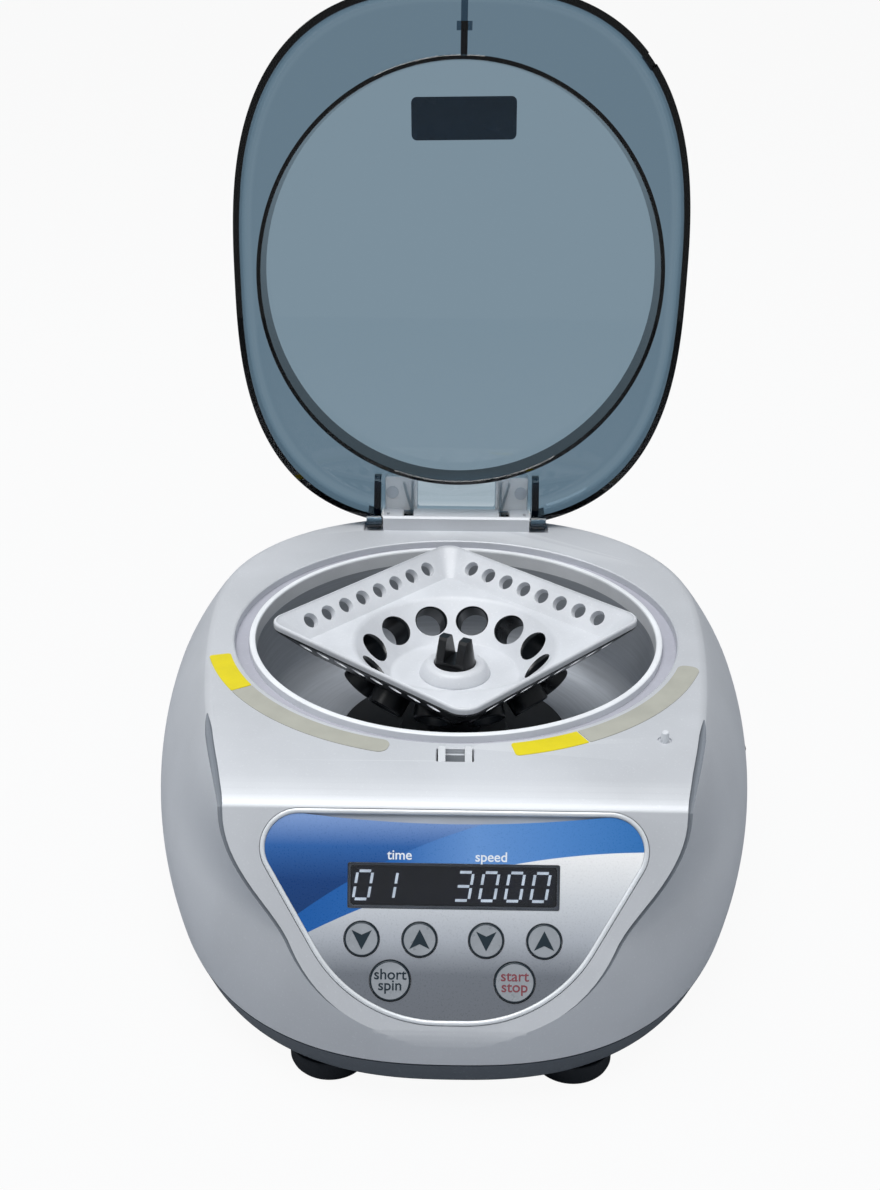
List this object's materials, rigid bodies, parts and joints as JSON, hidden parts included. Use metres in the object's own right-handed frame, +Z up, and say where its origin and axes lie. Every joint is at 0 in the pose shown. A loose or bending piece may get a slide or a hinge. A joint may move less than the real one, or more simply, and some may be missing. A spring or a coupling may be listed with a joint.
{
  "type": "microcentrifuge",
  "caption": "Tabletop microcentrifuge with a hinged clear lid, a square rotor for tube strips and tubes in a round chamber, and a sloping keypad with a display.",
  "frame": {"origin": "on the rotor axis, at the height of the table under the feet", "axes": "+Z up along the rotor axis, -Y towards the operator and the keypad, +X to the right seen from the front"},
  "size_m": [0.2221, 0.2801, 0.2886],
  "materials": {
    "dark_plastic": "satin",
    "rubber": "matte",
    "steel": "brushed",
    "silver_plastic": "satin metallic paint",
    "beige_film": "satin",
    "yellow_film": "satin",
    "bright_trim": "satin",
    "blue_film": "satin",
    "dark_window": "gloss",
    "pale_digits": "gloss",
    "black_plastic": "matte",
    "key_blue": "satin",
    "key_grey": "satin",
    "circuit": "satin",
    "bowl_metal": "satin",
    "seal_white": "satin",
    "rotor_white": "satin",
    "motor_metal": "satin",
    "smoke_clear": "clear gloss",
    "bracket_white": "satin",
    "dark_film": "satin",
    "guide_grey": "satin",
    "brass_pins": "polished"
  },
  "bodies": {
    "base": {"base_tray": "dark_plastic", "feet": "rubber", "base_screws": "steel", "top_housing": "silver_plastic", "label_left": "beige_film", "label_right": "beige_film", "tag_left": "yellow_film", "tag_right": "yellow_film", "panel_bezel": "bright_trim", "panel_film": "blue_film", "display_window": "dark_window", "display_digits": "pale_digits", "display_module": "black_plastic", "key_board": "circuit", "chamber_collar": "silver_plastic", "chamber_bowl": "bowl_metal", "chamber_seal": "seal_white", "shaft_seal": "rubber", "bowl_screws": "steel", "motor_body": "motor_metal", "motor_plate": "steel", "motor_isolators": "rubber", "control_board": "circuit", "board_parts": "black_plastic", "hinge_tower": "silver_plastic", "hinge_pin": "steel", "tower_screws": "steel", "latch_guide": "guide_grey", "latch_solenoid": "motor_metal", "safety_switch": "black_plastic", "switch_frame": "black_plastic", "power_inlet": "black_plastic", "inlet_pins": "brass_pins"},
    "rotor_group": {"rotor": "rotor_white", "drive_hub": "black_plastic", "motor_shaft": "steel"},
    "lid": {"lid_shell": "smoke_clear", "lid_plates": "bracket_white", "lid_plate_screws": "bracket_white", "lid_sticker": "dark_film"},
    "latch": {"latch_bolt": "steel"},
    "lid_sensor": {"safety_pin": "seal_white"},
    "power_switch": {"switch_rocker": "black_plastic"},
    "key_time_down_body": {"key_time_down": "key_blue"},
    "key_time_up_body": {"key_time_up": "key_blue"},
    "key_speed_down_body": {"key_speed_down": "key_blue"},
    "key_speed_up_body": {"key_speed_up": "key_blue"},
    "key_short_spin_body": {"key_short_spin": "key_grey"},
    "key_start_stop_body": {"key_start_stop": "key_grey"}
  },
  "joints": [
    {"name": "rotor_spin", "type": "hinge", "parent": "base", "child": "rotor_group", "pos_m": [0, 0, 0], "axis": [0, 0, 1], "continuous": true},
    {"name": "lid_hinge", "type": "hinge", "parent": "base", "child": "lid", "pos_m": [0, 0.0956, 0.0924], "axis": [1, 0, 0], "range_deg": [0, 96]},
    {"name": "latch_slide", "type": "slide", "parent": "base", "child": "latch", "axis": [0, 1, 0], "range_m": [0, 0.0034], "stiffness_N_per_m": 150},
    {"name": "lid_sensor_slide", "type": "slide", "parent": "base", "child": "lid_sensor", "axis": [0, 0, -1], "range_m": [0, 0.0025], "stiffness_N_per_m": 150},
    {"name": "power_rocker", "type": "hinge", "parent": "base", "child": "power_switch", "pos_m": [0.10669, 0.00607, 0.03681], "axis": [0.0853, -0.0018, 0.9964], "range_deg": [0, 13]},
    {"name": "time_down_press", "type": "slide", "parent": "base", "child": "key_time_down_body", "axis": [0, 0.848, -0.5299], "range_m": [0, 0.0006], "stiffness_N_per_m": 600},
    {"name": "time_up_press", "type": "slide", "parent": "base", "child": "key_time_up_body", "axis": [0, 0.848, -0.5299], "range_m": [0, 0.0006], "stiffness_N_per_m": 600},
    {"name": "speed_down_press", "type": "slide", "parent": "base", "child": "key_speed_down_body", "axis": [0, 0.848, -0.5299], "range_m": [0, 0.0006], "stiffness_N_per_m": 600},
    {"name": "speed_up_press", "type": "slide", "parent": "base", "child": "key_speed_up_body", "axis": [0, 0.848, -0.5299], "range_m": [0, 0.0006], "stiffness_N_per_m": 600},
    {"name": "short_spin_press", "type": "slide", "parent": "base", "child": "key_short_spin_body", "axis": [0, 0.848, -0.5299], "range_m": [0, 0.0006], "stiffness_N_per_m": 600},
    {"name": "start_stop_press", "type": "slide", "parent": "base", "child": "key_start_stop_body", "axis": [0, 0.848, -0.5299], "range_m": [0, 0.0006], "stiffness_N_per_m": 600}
  ]
}
